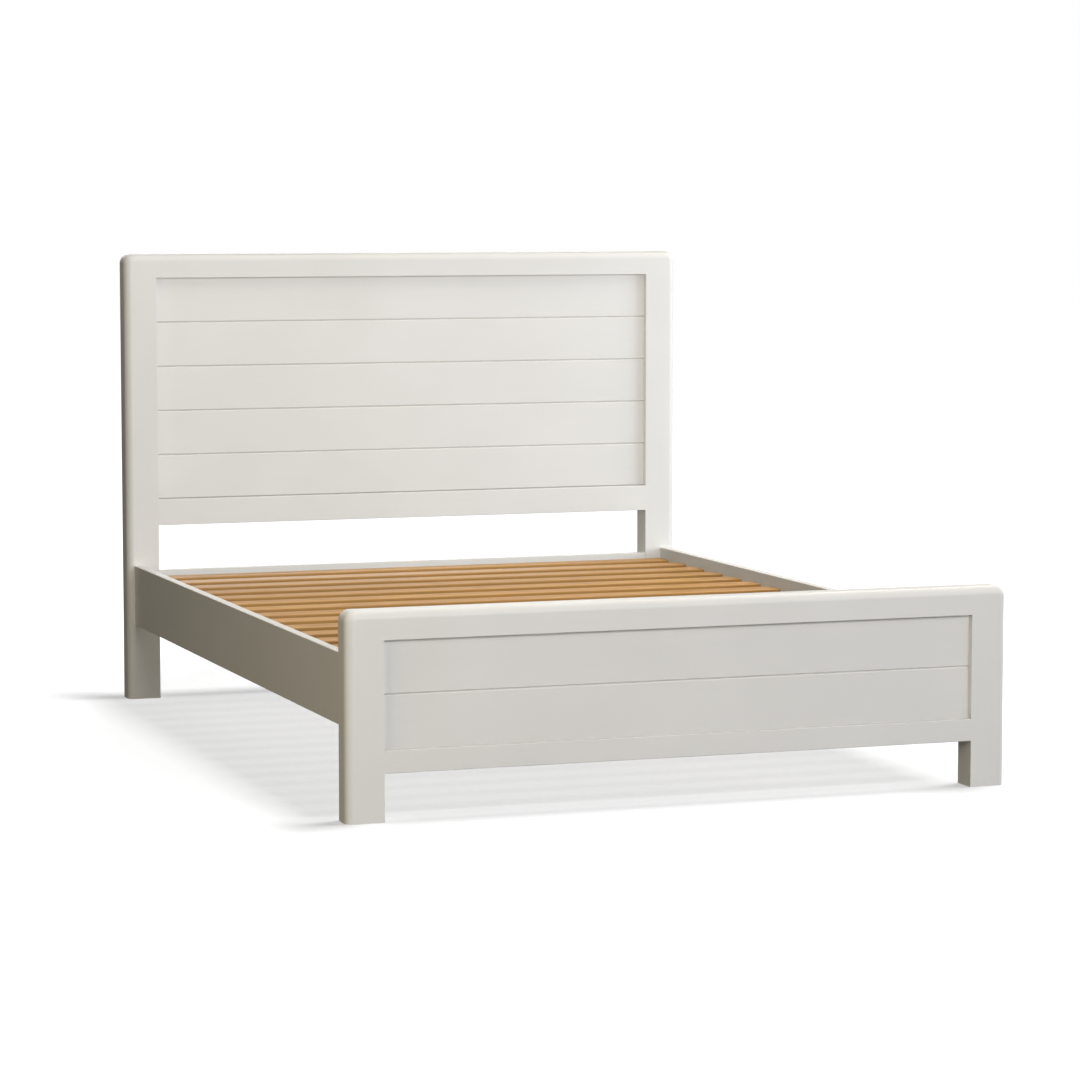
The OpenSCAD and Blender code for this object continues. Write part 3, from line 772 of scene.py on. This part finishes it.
@dataclass
class Fastener:
    """A screw or bolt with its head's top at the origin and its shank down the Z axis, in millimetres."""

    name: str
    head: Head
    drive: Drive
    head_d: float
    head_h: float
    shank_d: float
    length: float
    pitch: float
    thread_l: float
    sides: int = 20

    def core(self) -> float:
        """Gives the radius at the root of the thread."""
        return (COARSE_CORE if self.drive is Drive.CROSS else FINE_CORE) * (self.shank_d / 2)

    def outline(self) -> Outline:
        """Gives the turned outline from the head's top to the tip."""
        wide, rod, core = self.head_d / 2, self.shank_d / 2, self.core()
        if self.head is Head.COUNTERSUNK:
            top = [(wide * 0.97, 0), (wide, -0.15), (wide, -0.35), (rod, -self.head_h)]
        elif self.head is Head.PAN:
            top = [(wide * 0.55, 0), (wide * 0.8, -0.2 * self.head_h),
                   (wide * 0.95, -0.5 * self.head_h),
                   (wide, -0.85 * self.head_h), (wide, -self.head_h), (rod, -self.head_h - 0.05)]
        else:
            top = [(wide * 0.62, 0), (wide * 0.72, -0.08 * self.head_h), (wide * 0.9, -0.5 * self.head_h),
                   (wide, -0.85 * self.head_h), (wide, -self.head_h), (rod, -self.head_h - 0.05)]
        start = -self.length + self.thread_l
        if self.drive is Drive.HEXAGON:
            return top + [(rod, start + 0.4), (core, start), (core, -self.length + 0.8),
                          (core * 0.8, -self.length)]
        return top + [(rod, start + 0.3), (core, start), (core, -self.length + COARSE_TIP * self.shank_d),
                      (0.55 * core, -self.length + self.shank_d), (0.08 * core, -self.length)]

    def recess(self, shaft: bpy.types.Object) -> None:
        """Cuts the recess for the driver into the head.

        Args:
            shaft: The turned head and shank.
        """
        depth = 0.62 * self.head_h if self.head is not Head.COUNTERSUNK else 0.8 * self.head_h
        if self.drive is Drive.HEXAGON:
            select_only()
            bpy.ops.mesh.primitive_cylinder_add(vertices=6, radius=0.34 * self.shank_d * MM,
                                                depth=2 * depth * MM)
            carve(shaft, bpy.context.object)
            return
        wing, blade = 0.52 * self.head_d, 0.12 * self.head_d
        for size in ((wing, blade), (blade, wing)):
            select_only()
            bpy.ops.mesh.primitive_cube_add(size=1, scale=(size[0] * MM, size[1] * MM, 2 * depth * MM))
            cutter = bpy.context.object
            bpy.ops.object.transform_apply()
            select_points(cutter, lambda place: place.z < 0)
            bpy.ops.transform.resize(value=(0.45, 0.45, 1), center_override=(0, 0, -depth * MM))
            bpy.ops.object.mode_set(mode="OBJECT")
            carve(shaft, cutter)

    def model(self) -> bpy.types.Object:
        """Makes one fastener from its turned shaft, its recess and its thread."""
        shaft = turn(self.name, self.outline(), self.sides)
        self.recess(shaft)
        tip = COARSE_TIP * self.shank_d if self.drive is Drive.CROSS else 1.0
        turns = int((self.thread_l - tip) / self.pitch)
        thread = wind_thread(self.name + "_thread", self.core(), self.shank_d / 2,
                             -self.length + self.thread_l, self.pitch, turns, THREAD_STEPS)
        select_only(shaft, thread)
        bpy.ops.object.join()
        bpy.ops.object.shade_smooth_by_angle(angle=SMOOTH_BELOW)
        return shaft

    def drive_into(self, node: str, towards: Callable[[Box], Vector], finish: bpy.types.Material) -> None:
        """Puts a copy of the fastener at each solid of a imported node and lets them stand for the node.

        Args:
            node: The node that holds the fasteners' plain solids.
            towards: Gives the direction that a solid's head faces.
            finish: The fasteners' finish.
        """
        master = self.model()
        copies = []
        for low, high in solids(node):
            face = towards((low, high))
            middle = (low + high) / 2
            reach = abs((high - low).dot(face)) / 2
            copy = master.copy()
            copy.data = master.data.copy()
            bpy.context.scene.collection.objects.link(copy)
            spin = Vector((0, 0, 1)).rotation_difference(face).to_matrix().to_4x4()
            copy.data.transform(Matrix.Translation(middle + face * reach) @ spin)
            copies.append(copy)
        bpy.data.objects.remove(master)
        select_only(*copies)
        bpy.ops.object.join()
        group = bpy.context.object
        group.name = self.name
        group.data.materials.append(finish)
        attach(group, "root")
        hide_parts(node)
        log.info("modelled %s, %d of them, for %s", group.name, len(copies), node)


def facing_up(box: Box) -> Vector:
    """Says that a head faces up, whatever its box."""
    return Vector((0, 0, 1))


def facing_in(box: Box) -> Vector:
    """Finds the direction along a fastener's length that faces the middle of the bed."""
    low, high = box
    size = high - low
    axis = max(range(3), key=lambda i: size[i])
    face = Vector((0, 0, 0))
    face[axis] = -1.0 if low[axis] + high[axis] > 0 else 1.0
    return face


@dataclass
class Finishes:
    """The finishes of the bed, each made once and shared by the pieces that have it."""

    slat_pitch: float
    slat_first: float
    paint: dict[Axis, bpy.types.Material] = field(default_factory=dict)
    slats: bpy.types.Material | None = None
    battens: dict[Axis, bpy.types.Material] = field(default_factory=dict)
    beech: bpy.types.Material | None = None
    zinc: bpy.types.Material | None = None
    plastic: bpy.types.Material | None = None

    def __post_init__(self) -> None:
        """Makes the materials."""
        for axis in Axis:
            self.paint[axis] = SatinPaint().build(f"satin_paint_grain_{axis.name.lower()}", axis)
            self.battens[axis] = PlanedPine().build(f"planed_pine_batten_{axis.name.lower()}", axis)
        self.slats = PlanedPine().build("planed_pine_slats", Axis.X, self.slat_pitch, self.slat_first)
        self.beech = PlanedPine(early="D9BE96", late="C9A878", ring_gap=1.4).build("turned_beech", Axis.Y)
        self.zinc = ZincPlate().build("zinc_plated_steel")
        self.plastic = MouldedPlastic().build("moulded_polypropylene")


@dataclass
class SubAssembly:
    """A part of the bed that is made and finished together."""

    finishes: Finishes

    def dress(self, node: str, finish: bpy.types.Material) -> None:
        """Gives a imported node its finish.

        Args:
            node: The node's name.
            finish: The material.
        """
        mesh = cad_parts[node].data
        mesh.materials.clear()
        mesh.materials.append(finish)
        log.info("dressed %s in %s", node, finish.name)


@dataclass
class PanelledEnd(SubAssembly):
    """A headboard or footboard: two posts joined by rails, with tongued planks let in between them.

    The planks named in square, counted from the bottom, get a square edge where they meet their rail. The
    bevel of the planks and their depth in the rail are in millimetres.
    """

    name: str
    planks: int
    square: tuple[int, ...]
    plank_bevel: float = 3.0
    housed: float = 11.0

    def square_edge(self, index: int) -> None:
        """Replaces the lowest or highest plank by a copy that fills the rail's housing up to its face.

        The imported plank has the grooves' bevel at that edge too, which leaves a slot along the rail.

        Args:
            index: The plank's number, counted from the bottom.
        """
        node = f"{self.name}_plank_{index}"
        low, high = solids(node)[0]
        edge, word = (low.z, "lowest") if index == 1 else (high.z, "highest")
        plank = bpy.data.objects.new(f"{self.name}_{word}_plank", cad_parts[node].data.copy())
        bpy.context.scene.collection.objects.link(plank)
        select_points(plank, lambda place: True)
        bpy.ops.mesh.customdata_custom_splitnormals_clear()
        bpy.ops.mesh.remove_doubles(threshold=MERGE)
        bpy.ops.object.mode_set(mode="OBJECT")
        deep = low.y + MARGIN * self.plank_bevel * MM
        far = (self.housed + MARGIN * self.plank_bevel) * MM
        select_points(plank, lambda place: place.y < deep and abs(place.z - edge) < far)
        bpy.ops.transform.resize(value=(1, 0, 0), center_override=(0, low.y, edge))
        bpy.ops.mesh.select_all(action="SELECT")
        bpy.ops.mesh.remove_doubles(threshold=MERGE)
        bpy.ops.mesh.normals_make_consistent(inside=False)
        bpy.ops.object.mode_set(mode="OBJECT")
        bpy.ops.object.shade_flat()
        plank.data.materials.clear()
        plank.data.materials.append(self.finishes.paint[Axis.X])
        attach(plank, "root")
        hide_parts(node)
        log.info("modelled %s with a square edge for %s", plank.name, node)

    def build(self) -> None:
        """Dresses the posts with the grain up, and the rails and planks with it across.

        The bottom rail throws no light back, which would make the foot of the panel too bright.
        """
        for side in ("left", "right"):
            self.dress(f"{self.name}_{side}_post", self.finishes.paint[Axis.Z])
        for rail in ("top", "bottom", "cross"):
            self.dress(f"{self.name}_{rail}_rail", self.finishes.paint[Axis.X])
        for index in range(1, self.planks + 1):
            if index in self.square:
                self.square_edge(index)
            else:
                self.dress(f"{self.name}_plank_{index}", self.finishes.paint[Axis.X])
        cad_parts[f"{self.name}_bottom_rail"].visible_diffuse = False


@dataclass
class SideRails(SubAssembly):
    """The long rails with their slat ledges, dowels, brackets, screws and bolts."""

    screw_pitch: float = 2.2
    ledge_screw_d: float = 4.5
    ledge_screw_l: float = 43.0
    ledge_thread_l: float = 28.0
    bracket_screw_d: float = 4.5
    bracket_screw_head_h: float = 2.475
    bracket_screw_reach: float = 18.0
    bracket_thread_l: float = 16.5
    bolt_d: float = 8.0
    bolt_head_h: float = 4.4
    bolt_reach: float = 40.0
    bolt_pitch: float = 1.25
    bolt_thread_l: float = 28.0
    bolt_sides: int = 28

    def build(self) -> None:
        """Dresses the rails and models their fasteners."""
        for side in ("left", "right"):
            self.dress(f"{side}_side_rail", self.finishes.paint[Axis.Y])
            self.dress(f"{side}_slat_ledge", self.finishes.battens[Axis.Y])
        self.dress("rail_dowels", self.finishes.beech)
        self.dress("rail_brackets", self.finishes.zinc)
        self.dress("threaded_inserts", self.finishes.zinc)
        size = self.ledge_screw_d
        screws = Fastener("ledge_wood_screws", Head.COUNTERSUNK, Drive.CROSS, SCREW_HEAD_WIDE * size,
                          SCREW_HEAD_DEEP * size, size, self.ledge_screw_l, self.screw_pitch,
                          self.ledge_thread_l)
        screws.drive_into("ledge_screws", facing_in, self.finishes.zinc)
        size, head = self.bracket_screw_d, self.bracket_screw_head_h
        screws = Fastener("bracket_wood_screws", Head.PAN, Drive.CROSS, SCREW_HEAD_WIDE * size, head, size,
                          self.bracket_screw_reach + head, self.screw_pitch, self.bracket_thread_l)
        screws.drive_into("bracket_screws", facing_in, self.finishes.zinc)
        size, head = self.bolt_d, self.bolt_head_h
        bolts = Fastener("socket_bed_bolts", Head.TRUSS, Drive.HEXAGON, BOLT_HEAD_WIDE * size, head, size,
                         self.bolt_reach + head, self.bolt_pitch, self.bolt_thread_l, self.bolt_sides)
        bolts.drive_into("bed_bolts", facing_in, self.finishes.zinc)


@dataclass
class SlatDeck(SubAssembly):
    """The pine slats and the screws that hold them to the ledges."""

    slats: int = 15
    screw_d: float = 4.0
    screw_l: float = 38.0
    screw_pitch: float = 2.0
    thread_l: float = 24.0

    def build(self) -> None:
        """Dresses the slats, which throw no light back at other pieces, and models their screws."""
        for index in range(1, self.slats + 1):
            self.dress(f"slat_{index:02d}", self.finishes.slats)
            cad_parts[f"slat_{index:02d}"].visible_diffuse = False
        size = self.screw_d
        screws = Fastener("slat_wood_screws", Head.COUNTERSUNK, Drive.CROSS, SCREW_HEAD_WIDE * size,
                          SCREW_HEAD_DEEP * size, size, self.screw_l, self.screw_pitch, self.thread_l)
        screws.drive_into("slat_screws", facing_up, self.finishes.zinc)


@dataclass
class CentreSupport(SubAssembly):
    """The centre rail in its hangers, and its two legs on adjustable feet."""

    pad_d: float = 40.0
    pad_h: float = 8.0
    stud_d: float = 8.0
    stud_pitch: float = 1.25

    def foot(self, low: Vector, high: Vector) -> list[bpy.types.Object]:
        """Models one adjustable foot: a moulded pad with a spanner collar, and its threaded stud.

        Args:
            low: Lowest corner of the foot's plain solid.
            high: Its highest corner.

        Returns:
            The pad, its collar, the stud and the stud's thread.
        """
        top = (high.z - low.z) / MM
        wide, rod = self.pad_d / 2, self.stud_d / 2
        collar = 0.36 * wide
        pad = turn("pad", [(wide - 2, self.pad_h), (wide - 0.7, self.pad_h - 0.6), (wide, self.pad_h - 2),
                           (wide, 0.8), (wide - 0.8, 0)], 48)
        nut = turn("collar", [(collar - 0.6, self.pad_h + 3.2), (collar, self.pad_h + 2.6),
                              (collar, self.pad_h - 0.4)], 6)
        core = FINE_CORE * rod
        stud = turn("stud", [(0.8 * rod, top), (core, top - 0.6), (core, self.pad_h + 0.5)], 20)
        turns = int((top - self.pad_h - 4) / self.stud_pitch)
        thread = wind_thread("stud_thread", core, rod, top - 0.4, self.stud_pitch, turns, THREAD_STEPS)
        for piece, finish in ((pad, self.finishes.plastic), (nut, self.finishes.plastic),
                              (stud, self.finishes.zinc), (thread, self.finishes.zinc)):
            piece.data.materials.append(finish)
            piece.data.transform(Matrix.Translation(((low.x + high.x) / 2, (low.y + high.y) / 2, low.z)))
        return [pad, nut, stud, thread]

    def feet(self) -> None:
        """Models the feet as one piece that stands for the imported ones."""
        pieces = [piece for low, high in solids("centre_leg_feet") for piece in self.foot(low, high)]
        select_only(*pieces)
        bpy.ops.object.join()
        bpy.ops.object.shade_smooth_by_angle(angle=SMOOTH_BELOW)
        feet = bpy.context.object
        feet.name = "adjustable_feet"
        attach(feet, "root")
        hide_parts("centre_leg_feet")
        log.info("modelled %s", feet.name)

    def build(self) -> None:
        """Dresses the rail, legs and ironmongery, and models the feet."""
        self.dress("centre_rail", self.finishes.battens[Axis.Y])
        self.dress("centre_rail_hangers", self.finishes.zinc)
        self.dress("centre_leg_bolts", self.finishes.zinc)
        for end in ("foot_end", "head_end"):
            self.dress(f"{end}_centre_leg", self.finishes.battens[Axis.Z])
        self.feet()


def middle(node: str) -> Vector:
    """Gives the middle of a node's box."""
    low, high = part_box(node)
    return (Vector(low) + Vector(high)) / 2


def main() -> None:
    """Builds the studio and the bed."""
    logging.basicConfig(level=logging.INFO, format="%(name)s: %(message)s")
    Studio().build()
    first = middle("slat_01").y
    finishes = Finishes(first - middle("slat_02").y, first)
    PanelledEnd(finishes, "headboard", 5, (5,)).build()
    PanelledEnd(finishes, "footboard", 2, (1, 2)).build()
    SideRails(finishes).build()
    SlatDeck(finishes).build()
    CentreSupport(finishes).build()


if __name__ == "__main__":
    main()
